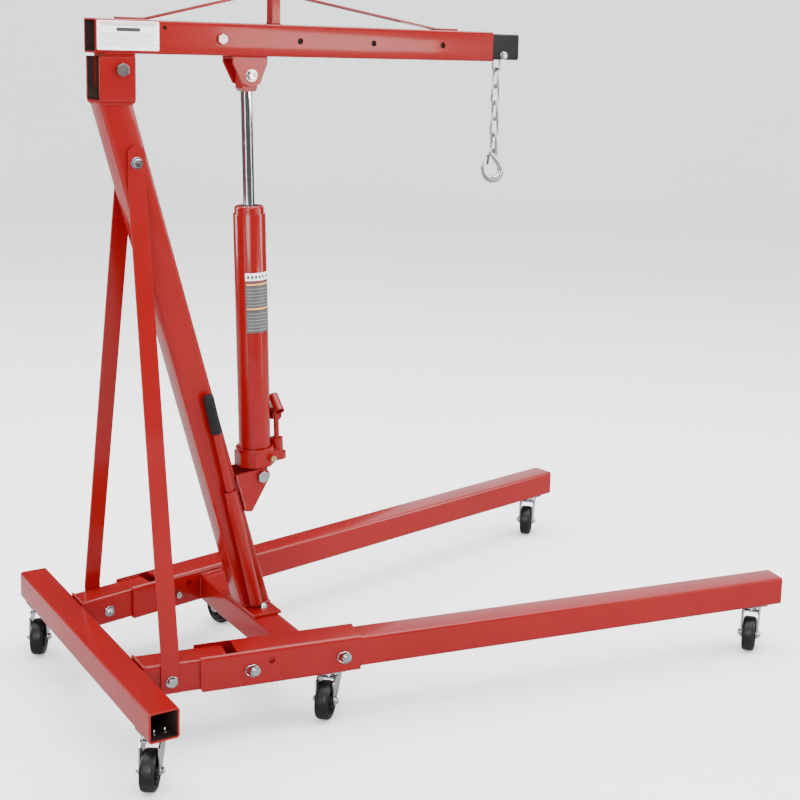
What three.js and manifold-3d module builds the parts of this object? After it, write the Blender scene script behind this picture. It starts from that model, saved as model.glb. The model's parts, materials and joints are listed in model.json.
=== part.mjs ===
// Engine hoist: a wheeled garage crane with a leaning mast, a hydraulic ram and a telescopic boom.
//
// Millimetres, +Z up, +X towards the hook, +Y to the crane's left. The origin is on the floor under
// the middle of the crane. Inside the base group, x is counted from the crossbar's rear face.

import * as THREE from 'three';
import { mergeVertices } from 'three/addons/utils/BufferGeometryUtils.js';
import Module from 'manifold-3d';

const wasm = await Module();
wasm.setup();

// ---------------------------------------------------------------- driving dimensions

const DEGREE = Math.PI / 180;
const GAP = 0.3;                  // air between pieces that touch
const ORIGIN_X = 757;             // from the crossbar's rear face to the middle of the crane
const LEFT = 1;
const RIGHT = -1;

// Base: a crossbar at the rear, two splayed legs in sockets, and a crossmember under the mast.
const BASE_TUBE = 60;
const BASE_WALL = 4;
const BASE_AXIS_Z = 138;
const CROSSBAR_LENGTH = 800;
const LEG_SPLAY = 10.9 * DEGREE;
const LEG_ORIGIN_Y = 172;         // where a leg's centre line meets the crossbar's rear face
const LEG_TUBE = 64;
const LEG_WALL = 4;
const STUB_END = 233;             // distances along a leg's centre line
const LEG_START = 262;
const LEG_END = 1554;
const SOCKET_TUBE = 75;
const SOCKET_WALL = 5;
const SOCKET_START = 178;
const SOCKET_ROOF_START = 252;
const SOCKET_END = 511;
const SPARE_HOLE = { along: 322, z: 151, radius: 6.5 };
const LEG_PIN = { rearAlong: 287, frontAlong: 479, z: 134, radius: 7, headRadius: 10.5, headLength: 6,
  tail: 16 };
const CROSSMEMBER_X = 384;
const CROSSMEMBER_TOP = 162;

// Mast: a square tube that leans forward at the foot, with a U-shaped head for the boom.
const MAST_TUBE = 64;
const MAST_WALL = 5;
const MAST_LEAN = 15.54 * DEGREE;
const MAST_FOOT_X = 386;
const FOOT_PLATE = { rear: 355, front: 418, halfWidth: 88, thickness: 6 };
const HEAD = { rear: 48, front: 120, bottom: 1254, top: 1343.5, width: 80, wall: 5.5, round: 10 };

// Boom, its telescopic extension, and the bridge-like truss strap on top.
const BOOM = { rear: 43, front: 961, bottom: 1350, size: 66, wall: 3.5 };
const BOOM_AXIS_Z = BOOM.bottom + BOOM.size / 2;
const EXTENSION = { rear: 285, front: 1034.6, size: 58, wall: 4 };
const BOOM_HOLES = { first: 302, pitch: 175, count: 4, radius: 6.5 };
const CABLE_HOLE = { x: 182, above: 19, radius: 4 };
const BOOM_LUG = { rear: 62, front: 122, bottom: 1285, width: 64, wall: 6 };
const TRUSS = { width: 28, strap: 4, postRear: 422, postLength: 18 };
const TRUSS_LINE = [[96, 0], [155, 0], [409, 62.5], [441, 62.5], [821, 0], [877, 0]];
const LOCK_BOLT = { radius: 6, headRadius: 11, headLength: 7 };
const CHAIN_BOLT = { x: 994, z: 1363.5, radius: 4 };

// Ram and jack: pivots in the plane Y = 0.
const BOOM_PIVOT = { x: 92, z: 1319, radius: 9, headRadius: 13.4, headLength: 9 };
const RAM_PIVOT = { x: 370, z: 1311 };
const JACK_PIVOT = { x: 396, z: 458, radius: 8, headRadius: 13.5, headLength: 9 };
const CLEVIS = { gap: 42, plate: 6 };
const RAM_LENGTH = Math.hypot(RAM_PIVOT.x - JACK_PIVOT.x, RAM_PIVOT.z - JACK_PIVOT.z);
const RAM_TILT = Math.atan2(RAM_PIVOT.x - JACK_PIVOT.x, RAM_PIVOT.z - JACK_PIVOT.z);
const RAM = { radius: 12, foot: 300, piston: 21.5, eyeRadius: 17, eyeWidth: 36, bore: 8.5 };
const CYLINDER = { radius: 34, bore: 22, foot: 60.3, shoulder: 567, capRadius: 31, top: 583, topRadius: 27 };
const COLLAR = { bottom: 21, top: 60, across: 82 };
const PUMP = { x: 52, bottom: 24, waist: 38, top: 70, radius: 14, footRadius: 20, bore: 7 };
const PLUNGER = { radius: 6, foot: 44, headHalf: 7 };
const ROCKER = { y: 22, z: 118, pinRadius: 5, crossPinRadius: 2.5, cheekInside: 7.5, cheek: 3 };
const HANDLE_SOCKET = { outer: 11, inner: 9.3, length: 44, y: -2, z: 146.5, tilt: 41 * DEGREE };
const BRACKET = { halfGap: 29, plate: 6 };

// Braces from the mast's sides down to the stubs.
const BRACE = { width: 36, thickness: 5, boltZ: 1138, topZ: 1155, topX: 121, bendX: 109 };
const BRACE_BENDS = { upperZ: 1108, lowerZ: 184, endZ: 110 };

// Stored pump handle in its holder on the mast's right side.
const HOLDER = { outer: 13.5, inner: 10.8, bottomZ: 176, topZ: 441, footX: 378.5, lean: 13.2 * DEGREE };
const HANDLE = { radius: 9, gripTopZ: 654, gripBottomZ: 571, gripRadius: 11 };

// Swivel casters.
const WHEEL = { radius: 40, width: 30, bore: 5.6, segments: 24 };
const CASTER = { trail: 27, plate: 3, plateSize: 56, headRadius: 21, headHeight: 8, crown: 3, cheek: 3,
  gap: 34 };
const REAR_CASTER_Y = 345;
const MIDDLE_CASTER_ALONG = 456;
const FRONT_CASTER_ALONG = 1495;

// Load chain and hook.
const LINK = { wire: 3, halfWidth: 9.2, inside: 37.5, count: 6 };
const HOOK = { wire: 6.5, eyeRadius: 12, eyeWire: 4 };

// ---------------------------------------------------------------- colours

const RED_ENAMEL = { color: 0xb02a26, roughness: 0.28, metalness: 0.1 };
const BLACK_PAINT = { color: 0x1b1a1b, roughness: 0.5, metalness: 0.1 };
const BRIGHT_ZINC = { color: 0xc9ccd0, roughness: 0.3, metalness: 0.9 };
const POLISHED_CHROME = { color: 0xdfe3e6, roughness: 0.08, metalness: 1 };
const BLACK_POLYMER = { color: 0x1d1c1d, roughness: 0.55, metalness: 0 };
const BLACK_RUBBER = { color: 0x19191a, roughness: 0.8, metalness: 0 };
const BRASS = { color: 0xb99a55, roughness: 0.35, metalness: 0.9 };

// ---------------------------------------------------------------- solids and meshes

function solidOf(geometry) {
  const bare = geometry.clone();
  bare.deleteAttribute('normal');
  bare.deleteAttribute('uv');
  const merged = mergeVertices(bare, 1e-4);
  return new wasm.Manifold(new wasm.Mesh({
    numProp: 3,
    vertProperties: new Float32Array(merged.attributes.position.array),
    triVerts: new Uint32Array(merged.index.array),
  }));
}

function join(...geometries) {
  return geometries.map(solidOf).reduce((whole, next) => whole.add(next));
}

function cut(solid, ...geometries) {
  return geometries.map(solidOf).reduce((left, tool) => left.subtract(tool), solid);
}

function geometryOf(solid) {
  const { vertProperties, triVerts } = solid.getMesh();
  const geometry = new THREE.BufferGeometry();
  geometry.setAttribute('position', new THREE.BufferAttribute(vertProperties, 3));
  geometry.setIndex(new THREE.BufferAttribute(triVerts, 1));
  geometry.computeVertexNormals();
  return geometry;
}

function makeMesh(name, shape, finish, parent) {
  const geometry = shape.isBufferGeometry ? shape : geometryOf(shape);
  const mesh = new THREE.Mesh(geometry, new THREE.MeshStandardMaterial(finish));
  mesh.name = name;
  parent.add(mesh);
  return mesh;
}

function makeGroup(parent, x = 0, y = 0, z = 0) {
  const group = new THREE.Group();
  group.position.set(x, y, z);
  parent.add(group);
  return group;
}

// ---------------------------------------------------------------- basic shapes

function block(fromX, toX, fromY, toY, fromZ, toZ) {
  const geometry = new THREE.BoxGeometry(toX - fromX, toY - fromY, toZ - fromZ);
  return geometry.translate((fromX + toX) / 2, (fromY + toY) / 2, (fromZ + toZ) / 2);
}

function roundedRectangle(width, height, radius, path = new THREE.Shape()) {
  const x = width / 2 - radius;
  const y = height / 2 - radius;
  path.absarc(x, y, radius, 0, 90 * DEGREE);
  path.absarc(-x, y, radius, 90 * DEGREE, 180 * DEGREE);
  path.absarc(-x, -y, radius, 180 * DEGREE, 270 * DEGREE);
  path.absarc(x, -y, radius, 270 * DEGREE, 360 * DEGREE);
  path.closePath();
  return path;
}

function extrude(shape, depth, curveSegments = 3) {
  return new THREE.ExtrudeGeometry(shape, { depth, curveSegments, bevelEnabled: false });
}

// A square tube along +X from x = 0, centred on the X axis.
function tubeAlongX(size, wall, length) {
  const shape = roundedRectangle(size, size, wall * 1.5);
  shape.holes.push(roundedRectangle(size - 2 * wall, size - 2 * wall, wall * 0.5, new THREE.Path()));
  return extrude(shape, length).rotateY(90 * DEGREE);
}

// A plate in an upright X-Z plane. Its outline gives x and z, and it is centred on y.
function uprightPlate(shape, thickness, y = 0, curveSegments = 6) {
  return extrude(shape, thickness, curveSegments).rotateX(90 * DEGREE).translate(0, y + thickness / 2, 0);
}

function rodAlongX(radius, fromX, toX, sides = 24) {
  const rod = new THREE.CylinderGeometry(radius, radius, toX - fromX, sides);
  return rod.rotateZ(90 * DEGREE).translate((fromX + toX) / 2, 0, 0);
}

function rodAlongY(radius, fromY, toY, sides = 24) {
  return new THREE.CylinderGeometry(radius, radius, toY - fromY, sides).translate(0, (fromY + toY) / 2, 0);
}

function rodAlongZ(radius, fromZ, toZ, sides = 24) {
  const rod = new THREE.CylinderGeometry(radius, radius, toZ - fromZ, sides);
  return rod.rotateX(90 * DEGREE).translate(0, 0, (fromZ + toZ) / 2);
}

function polygon(points) {
  return new THREE.Shape(points.map(([x, y]) => new THREE.Vector2(x, y)));
}

// A bolt along Y with a hexagonal head at fromY and a hexagonal nut at toY.
function hexBolt({ radius, headRadius, headLength }, fromY, toY) {
  return join(
    rodAlongY(radius, fromY, toY),
    rodAlongY(headRadius, fromY - headLength, fromY, 6),
    rodAlongY(headRadius, toY, toY + headLength, 6),
  );
}

// A flat strip through stations. Each station has a centre, and unit vectors across and through it.
function strip(stations, width, thickness) {
  const corners = stations.flatMap(({ centre, across, through }) => [[-1, -1], [1, -1], [1, 1], [-1, 1]]
    .map(([a, t]) => centre.clone().addScaledVector(across, a * width / 2)
      .addScaledVector(through, t * thickness / 2)));
  const triangles = [];
  const quad = (a, b, c, d) => triangles.push(a, b, c, a, c, d);
  for (let station = 0; station < stations.length - 1; station += 1) {
    for (let side = 0; side < 4; side += 1) {
      const next = (side + 1) % 4;
      const first = station * 4;
      quad(first + side, first + next, first + 4 + next, first + 4 + side);
    }
  }
  quad(3, 2, 1, 0);
  const last = (stations.length - 1) * 4;
  quad(last, last + 1, last + 2, last + 3);
  const geometry = new THREE.BufferGeometry().setFromPoints(corners);
  geometry.setIndex(triangles);
  return geometry;
}

// ---------------------------------------------------------------- base frame

const crane = new THREE.Group();
const base = makeGroup(crane, -ORIGIN_X, 0, 0);

function buildCrossbar() {
  const tube = tubeAlongX(BASE_TUBE, BASE_WALL, CROSSBAR_LENGTH).translate(-CROSSBAR_LENGTH / 2, 0, 0);
  const mesh = makeMesh('rear_crossbar', tube, RED_ENAMEL, base);
  mesh.position.set(BASE_TUBE / 2, 0, BASE_AXIS_Z);
  mesh.rotation.z = 90 * DEGREE;
}

// A group whose +X runs along one leg's centre line, at the height of the base tubes.
function legLineGroup(side) {
  const group = makeGroup(base, 0, side * LEG_ORIGIN_Y, BASE_AXIS_Z);
  group.rotation.z = side * LEG_SPLAY;
  return group;
}

function crossHole(radius, along, z) {
  return rodAlongY(radius, -SOCKET_TUBE, SOCKET_TUBE).translate(along, 0, z - BASE_AXIS_Z);
}

function buildStub(line, side, word) {
  const crossbarSide = block(-200, BASE_TUBE + GAP, -400, 400, -100, 100)
    .translate(0, -side * LEG_ORIGIN_Y, 0).rotateZ(-side * LEG_SPLAY);
  const stub = cut(solidOf(tubeAlongX(LEG_TUBE, LEG_WALL, STUB_END)), crossbarSide);
  makeMesh(`stub_${word}`, stub, RED_ENAMEL, line);
}

function buildSocket(line, word) {
  const length = SOCKET_END - SOCKET_START;
  const roofCutHalf = SOCKET_TUBE / 2 - SOCKET_WALL - 2;
  const rearChamfer = block(-12, 0, -50, 50, -9, 0).rotateY(-45 * DEGREE)
    .translate(SOCKET_START, 0, 8 - SOCKET_TUBE / 2);
  const socket = cut(
    solidOf(tubeAlongX(SOCKET_TUBE, SOCKET_WALL, length).translate(SOCKET_START, 0, 0)),
    block(SOCKET_START - 1, SOCKET_ROOF_START, -roofCutHalf, roofCutHalf, 0, SOCKET_TUBE),
    rearChamfer,
    crossHole(LEG_PIN.radius + 0.5, LEG_PIN.rearAlong, LEG_PIN.z),
    crossHole(LEG_PIN.radius + 0.5, LEG_PIN.frontAlong, LEG_PIN.z),
    crossHole(SPARE_HOLE.radius, SPARE_HOLE.along, SPARE_HOLE.z),
  );
  makeMesh(`leg_socket_${word}`, socket, RED_ENAMEL, line);
}

function buildLeg(line, word) {
  const leg = cut(
    solidOf(tubeAlongX(LEG_TUBE, LEG_WALL, LEG_END - LEG_START).translate(LEG_START, 0, 0)),
    crossHole(LEG_PIN.radius + 0.5, LEG_PIN.rearAlong, LEG_PIN.z),
    crossHole(LEG_PIN.radius + 0.5, LEG_PIN.frontAlong, LEG_PIN.z),
  );
  makeMesh(`leg_${word}`, leg, RED_ENAMEL, line);
}

// A round pin with a flat head on the outside of the socket and a tail that shows on the inside.
function buildLegPins(line, side, word) {
  const face = SOCKET_TUBE / 2 + GAP;
  const places = [['rear', LEG_PIN.rearAlong], ['front', LEG_PIN.frontAlong]];
  for (const [place, along] of places) {
    const pin = join(
      rodAlongY(LEG_PIN.radius, -face - LEG_PIN.tail, face + 1),
      rodAlongY(LEG_PIN.headRadius, face, face + LEG_PIN.headLength),
    );
    const mesh = makeMesh(`leg_pin_${place}_${word}`, pin, BRIGHT_ZINC, line);
    mesh.position.set(along, 0, LEG_PIN.z - BASE_AXIS_Z);
    mesh.rotation.z = side === LEFT ? 0 : 180 * DEGREE;
  }
}

function socketInnerFace(x) {
  return LEG_ORIGIN_Y + x * Math.tan(LEG_SPLAY) - SOCKET_TUBE / 2 / Math.cos(LEG_SPLAY);
}

function buildCrossmember() {
  const z = CROSSMEMBER_TOP - BASE_TUBE / 2;
  const whole = tubeAlongX(BASE_TUBE, BASE_WALL, 600).translate(-300, 0, 0).rotateZ(90 * DEGREE);
  const ends = [LEFT, RIGHT].map((side) => block(-200, 200, 0, 200, -50, 50)
    .rotateX(side === LEFT ? 0 : 180 * DEGREE).rotateZ(side * LEG_SPLAY)
    .translate(0, side * (socketInnerFace(CROSSMEMBER_X) - GAP), 0));
  const mesh = makeMesh('crossmember', cut(solidOf(whole), ...ends), RED_ENAMEL, base);
  mesh.position.set(CROSSMEMBER_X, 0, z);
}

// ---------------------------------------------------------------- mast

function mastCentreX(z) {
  return MAST_FOOT_X - (z - CROSSMEMBER_TOP - FOOT_PLATE.thickness) * Math.tan(MAST_LEAN);
}

function mastFrontX(z) {
  return mastCentreX(z) + MAST_TUBE / 2 / Math.cos(MAST_LEAN);
}

function buildMast() {
  const footZ = CROSSMEMBER_TOP + FOOT_PLATE.thickness + 2 * GAP;
  const plate = block(FOOT_PLATE.rear, FOOT_PLATE.front, -FOOT_PLATE.halfWidth, FOOT_PLATE.halfWidth,
    CROSSMEMBER_TOP + GAP, CROSSMEMBER_TOP + FOOT_PLATE.thickness + GAP);
  makeMesh('mast_foot_plate', plate, RED_ENAMEL, base);

  const tube = tubeAlongX(MAST_TUBE, MAST_WALL, 1400).translate(-150, 0, 0)
    .rotateY(-90 * DEGREE - MAST_LEAN);
  const top = HEAD.bottom - GAP - footZ;
  const mast = cut(solidOf(tube), block(-900, 900, -99, 99, -400, 0), block(-900, 900, -99, 99, top, 1900));
  makeMesh('mast', mast, RED_ENAMEL, base).position.set(mastCentreX(footZ), 0, footZ);
}

// The head is a U: two cheeks and a floor, open to the front, the rear and the top.
function buildMastHead() {
  const height = HEAD.top - HEAD.bottom;
  const half = HEAD.width / 2;
  const inner = half - HEAD.wall;
  const outline = new THREE.Shape();
  outline.moveTo(-half, height);
  outline.lineTo(-half, HEAD.round);
  outline.absarc(HEAD.round - half, HEAD.round, HEAD.round, 180 * DEGREE, 270 * DEGREE);
  outline.absarc(half - HEAD.round, HEAD.round, HEAD.round, 270 * DEGREE, 360 * DEGREE);
  outline.lineTo(half, height);
  outline.lineTo(inner, height);
  outline.lineTo(inner, HEAD.wall);
  outline.lineTo(-inner, HEAD.wall);
  outline.lineTo(-inner, height);
  outline.closePath();
  const channel = extrude(outline, HEAD.front - HEAD.rear, 4).rotateX(90 * DEGREE).rotateZ(90 * DEGREE);
  const bolt = rodAlongY(BOOM_PIVOT.radius + 0.5, -60, 60)
    .translate(BOOM_PIVOT.x - HEAD.rear, 0, BOOM_PIVOT.z - HEAD.bottom);
  const head = cut(solidOf(channel), bolt);
  makeMesh('mast_head', head, RED_ENAMEL, base).position.set(HEAD.rear, 0, HEAD.bottom);
}

function buildPivotBolts() {
  const headHalf = HEAD.width / 2 + GAP;
  const boomBolt = hexBolt(BOOM_PIVOT, -headHalf, headHalf);
  makeMesh('boom_pivot_bolt', boomBolt, BRIGHT_ZINC, base).position.set(BOOM_PIVOT.x, 0, BOOM_PIVOT.z);

  const bracketHalf = BRACKET.halfGap + BRACKET.plate + GAP;
  const jackBolt = hexBolt(JACK_PIVOT, -bracketHalf, bracketHalf);
  makeMesh('jack_pivot_bolt', jackBolt, BRIGHT_ZINC, base).position.set(JACK_PIVOT.x, 0, JACK_PIVOT.z);
}

// Two cheeks on a back plate, welded to the mast's front face.
function buildJackBracket() {
  const back = (z, out = 0) => mastFrontX(z) + GAP + out;
  const cheek = new THREE.Shape();
  cheek.moveTo(back(384), 384);
  cheek.lineTo(back(384, 14), 383);
  cheek.absarc(JACK_PIVOT.x, JACK_PIVOT.z, 18, -25 * DEGREE, 105 * DEGREE);
  cheek.lineTo(back(468), 468);
  cheek.closePath();
  const rib = polygon([[back(384), 384], [back(384, 5), 384], [back(430, 5), 430], [back(430), 430]]);
  const halfWidth = BRACKET.halfGap + BRACKET.plate / 2;
  const bracket = join(
    uprightPlate(cheek, BRACKET.plate, halfWidth),
    uprightPlate(cheek, BRACKET.plate, -halfWidth),
    uprightPlate(rib, 2 * halfWidth, 0),
  );
  const hole = rodAlongY(JACK_PIVOT.radius + 0.5, -60, 60).translate(JACK_PIVOT.x, 0, JACK_PIVOT.z);
  makeMesh('jack_bracket', cut(bracket, hole), RED_ENAMEL, base);
}

// The stretch of a brace that lies on the mast, the slope, and the stretch on the stub's outer face.
function buildBrace(side, word) {
  const mastY = side * (MAST_TUBE / 2 + GAP + BRACE.thickness / 2);
  const stubY = side * (LEG_ORIGIN_Y + BRACE.bendX * Math.tan(LEG_SPLAY)
    + (LEG_TUBE / 2 + GAP + BRACE.thickness / 2) / Math.cos(LEG_SPLAY));
  const acrossMast = new THREE.Vector3(1, 0, 0);
  const throughMast = new THREE.Vector3(0, 1, 0);
  const acrossStub = acrossMast.clone().applyAxisAngle(new THREE.Vector3(0, 0, 1), side * LEG_SPLAY);
  const throughStub = throughMast.clone().applyAxisAngle(new THREE.Vector3(0, 0, 1), side * LEG_SPLAY);
  const station = (x, y, z, across, through) => ({ centre: new THREE.Vector3(x, y, z), across, through });
  const ribbon = strip([
    station(BRACE.bendX, stubY, BRACE_BENDS.endZ, acrossStub, throughStub),
    station(BRACE.bendX, stubY, BRACE_BENDS.lowerZ, acrossStub, throughStub),
    station(BRACE.topX, mastY, BRACE_BENDS.upperZ, acrossMast, throughMast),
    station(BRACE.topX, mastY, BRACE.topZ, acrossMast, throughMast),
  ], BRACE.width, BRACE.thickness);
  const roundEnd = rodAlongY(BRACE.width / 2, mastY - BRACE.thickness / 2, mastY + BRACE.thickness / 2)
    .translate(BRACE.topX, 0, BRACE.topZ);
  makeMesh(`brace_${word}`, join(ribbon, roundEnd), RED_ENAMEL, base);
}

// ---------------------------------------------------------------- stored pump handle

const HOLDER_Y = -(MAST_TUBE / 2 + HOLDER.outer + GAP);

// Places a tube made along +Z on the holder's leaning centre line, with its foot at a height.
function placeOnHolderLine(mesh, z) {
  mesh.position.set(HOLDER.footX - (z - HOLDER.bottomZ) * Math.tan(HOLDER.lean), HOLDER_Y, z);
  mesh.rotation.y = -HOLDER.lean;
}

function slantLength(fromZ, toZ) {
  return (toZ - fromZ) / Math.cos(HOLDER.lean);
}

function ringTube(outer, inner, length, sides = 20) {
  const profile = [[inner, 0], [outer, 0], [outer, length], [inner, length], [inner, 0]];
  const points = profile.map(([radius, z]) => new THREE.Vector2(radius, z));
  return new THREE.LatheGeometry(points, sides).rotateX(90 * DEGREE);
}

function buildHandle() {
  const holder = ringTube(HOLDER.outer, HOLDER.inner, slantLength(HOLDER.bottomZ, HOLDER.topZ));
  placeOnHolderLine(makeMesh('handle_holder', holder, RED_ENAMEL, base), HOLDER.bottomZ);

  const handleTop = HANDLE.gripTopZ - 4;
  const handle = rodAlongZ(HANDLE.radius, 0, slantLength(HOLDER.bottomZ + 4, handleTop), 20);
  placeOnHolderLine(makeMesh('pump_handle', handle, RED_ENAMEL, base), HOLDER.bottomZ + 4);

  const gripLength = slantLength(HANDLE.gripBottomZ, HANDLE.gripTopZ);
  const bore = gripLength - slantLength(handleTop, HANDLE.gripTopZ) + GAP;
  const profile = [[0, gripLength], [0, bore], [HANDLE.radius + GAP, bore], [HANDLE.radius + GAP, 0],
    [HANDLE.gripRadius, 0], [HANDLE.gripRadius, gripLength - 2], [HANDLE.gripRadius - 2, gripLength],
    [0, gripLength]];
  const grip = new THREE.LatheGeometry(profile.map(([r, z]) => new THREE.Vector2(r, z)), 20)
    .rotateX(90 * DEGREE);
  placeOnHolderLine(makeMesh('handle_grip', grip, BLACK_RUBBER, base), HANDLE.gripBottomZ);
}

// ---------------------------------------------------------------- boom

function buildBoom() {
  const holes = Array.from({ length: BOOM_HOLES.count }, (_, index) => rodAlongY(BOOM_HOLES.radius, -50, 50)
    .translate(BOOM_HOLES.first + index * BOOM_HOLES.pitch, 0, BOOM_AXIS_Z));
  const cableHole = rodAlongY(CABLE_HOLE.radius, -50, 50, 12)
    .translate(CABLE_HOLE.x, 0, BOOM_AXIS_Z + CABLE_HOLE.above);
  const tube = tubeAlongX(BOOM.size, BOOM.wall, BOOM.front - BOOM.rear)
    .translate(BOOM.rear, 0, BOOM_AXIS_Z);
  const inner = BOOM_LUG.width / 2 - BOOM_LUG.wall;
  const lug = cut(
    solidOf(block(BOOM_LUG.rear, BOOM_LUG.front, -BOOM_LUG.width / 2, BOOM_LUG.width / 2,
      BOOM_LUG.bottom, BOOM.bottom + BOOM.wall / 2)),
    block(BOOM_LUG.rear - 1, BOOM_LUG.front + 1, -inner, inner,
      BOOM_LUG.bottom - 1, BOOM.bottom - BOOM_LUG.wall),
    rodAlongY(BOOM_PIVOT.radius + 0.5, -60, 60).translate(BOOM_PIVOT.x, 0, BOOM_PIVOT.z),
  );
  const boom = cut(solidOf(tube).add(lug), ...holes, cableHole);
  makeMesh('boom', boom, RED_ENAMEL, base);
}

function buildExtension() {
  const tube = tubeAlongX(EXTENSION.size, EXTENSION.wall, EXTENSION.front - EXTENSION.rear)
    .translate(EXTENSION.rear, 0, BOOM_AXIS_Z);
  const lockHole = rodAlongY(BOOM_HOLES.radius, -50, 50).translate(BOOM_HOLES.first, 0, BOOM_AXIS_Z);
  const bottom = BOOM_AXIS_Z - EXTENSION.size / 2;
  const chainSlot = block(CHAIN_BOLT.x - 33, CHAIN_BOLT.x + 20, -5, 5,
    bottom - 1, bottom + EXTENSION.wall + 1);
  const bolt = rodAlongY(CHAIN_BOLT.radius, -EXTENSION.size / 2 + 1, EXTENSION.size / 2 - 1, 12)
    .translate(CHAIN_BOLT.x, 0, CHAIN_BOLT.z);
  const hollow = cut(solidOf(tube), lockHole, chainSlot);
  makeMesh('boom_extension', hollow.add(solidOf(bolt)), BLACK_PAINT, base);
}

// A bent strap over a short post, welded along the boom's top.
function buildTruss() {
  const foot = BOOM.bottom + BOOM.size + GAP;
  const upper = TRUSS_LINE.map(([x, rise]) => [x, foot + rise + TRUSS.strap]);
  const lower = TRUSS_LINE.map(([x, rise]) => [x, foot + rise]);
  const strap = uprightPlate(polygon([...lower, ...upper.reverse()]), TRUSS.width);
  const half = TRUSS.width / 2;
  const post = block(TRUSS.postRear, TRUSS.postRear + TRUSS.postLength, -half, half, foot, foot + 63);
  makeMesh('boom_truss', join(strap, post), RED_ENAMEL, base);
}

function buildClevis() {
  const top = BOOM.bottom - GAP;
  const cheek = new THREE.Shape();
  cheek.moveTo(329, top);
  cheek.lineTo(329, 1337);
  cheek.lineTo(351, 1293);
  cheek.absarc(RAM_PIVOT.x, RAM_PIVOT.z, 23.5, 228 * DEGREE, 312 * DEGREE);
  cheek.lineTo(389, 1293);
  cheek.lineTo(406, 1337);
  cheek.lineTo(406, top);
  cheek.closePath();
  const centre = (CLEVIS.gap + CLEVIS.plate) / 2;
  const halfWidth = CLEVIS.gap / 2 + CLEVIS.plate;
  const clevis = join(
    uprightPlate(cheek, CLEVIS.plate, centre),
    uprightPlate(cheek, CLEVIS.plate, -centre),
    block(329, 406, -halfWidth, halfWidth, top - CLEVIS.plate, top),
  );
  const hole = rodAlongY(8, -60, 60).translate(RAM_PIVOT.x, 0, RAM_PIVOT.z);
  makeMesh('ram_clevis', cut(clevis, hole), RED_ENAMEL, base);
}

// The lock bolt's shank ends inside the boom's right wall, so the extension can slide past it.
function buildLockBolt() {
  const face = BOOM.size / 2 + GAP;
  const bolt = join(
    rodAlongY(LOCK_BOLT.radius, -face, -BOOM.size / 2 + BOOM.wall),
    rodAlongY(LOCK_BOLT.headRadius, -face - LOCK_BOLT.headLength, -face, 6),
  );
  const mesh = makeMesh('extension_lock_bolt', bolt, BRIGHT_ZINC, base);
  mesh.position.set(BOOM_HOLES.first, 0, BOOM_AXIS_Z);
}

// ---------------------------------------------------------------- hydraulic jack

// In this group +Z runs along the ram, and the origin is on the jack's lower pivot.
const jack = makeGroup(base, JACK_PIVOT.x, 0, JACK_PIVOT.z);
jack.rotation.y = RAM_TILT;

function buildJackBase() {
  const lug = new THREE.Shape();
  lug.absarc(0, 0, 16, 180 * DEGREE, 360 * DEGREE);
  lug.lineTo(16, 6);
  lug.lineTo(26, COLLAR.bottom + 1);
  lug.lineTo(-26, COLLAR.bottom + 1);
  lug.lineTo(-16, 6);
  lug.closePath();
  const octagon = COLLAR.across / 2 / Math.cos(22.5 * DEGREE);
  const body = join(
    uprightPlate(lug, 44),
    rodAlongZ(octagon, COLLAR.bottom, COLLAR.top - 8, 8).rotateZ(22.5 * DEGREE),
    rodAlongZ(COLLAR.across / 2, COLLAR.top - 9, COLLAR.top, 32),
    rodAlongZ(PUMP.footRadius, PUMP.bottom, PUMP.waist, 24).translate(PUMP.x, 0, 0),
    rodAlongZ(PUMP.radius, PUMP.waist - 1, PUMP.top, 24).translate(PUMP.x, 0, 0),
    block(30, PUMP.x, -PUMP.footRadius, PUMP.footRadius, PUMP.bottom, PUMP.waist + 8),
    rodAlongY(9, -COLLAR.across / 2 - 5, -20, 20).translate(20, 0, 40),
  );
  const drilled = cut(
    body,
    rodAlongY(JACK_PIVOT.radius + 0.5, -60, 60),
    rodAlongZ(PUMP.bore, PUMP.waist + 2, PUMP.top + 1, 20).translate(PUMP.x, 0, 0),
    rodAlongY(5.3, -COLLAR.across / 2 - 6, -28, 16).translate(20, 0, 40),
  );
  makeMesh('jack_base', drilled, RED_ENAMEL, jack);
}

function buildCylinder() {
  const { radius, bore, foot, shoulder, capRadius, top, topRadius } = CYLINDER;
  const profile = [[bore, foot], [radius, foot], [radius, shoulder], [capRadius, shoulder + 3],
    [capRadius, top - 5], [topRadius, top], [RAM.radius + 0.7, top],
    [RAM.radius + 0.7, shoulder - 10], [bore, shoulder - 10], [bore, foot]];
  const tube = new THREE.LatheGeometry(profile.map(([r, z]) => new THREE.Vector2(r, z)), 32)
    .rotateX(90 * DEGREE);
  const cheekOutside = ROCKER.cheekInside + ROCKER.cheek;
  const lug = block(26, PUMP.x - cheekOutside - GAP, ROCKER.y - 8, ROCKER.y + 8,
    ROCKER.z - 14, ROCKER.z + 10);
  const pin = rodAlongX(ROCKER.pinRadius, 40, PUMP.x + cheekOutside + 3, 16).translate(0, ROCKER.y, ROCKER.z);
  makeMesh('jack_cylinder', join(tube, lug, pin), RED_ENAMEL, jack);
}

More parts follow.
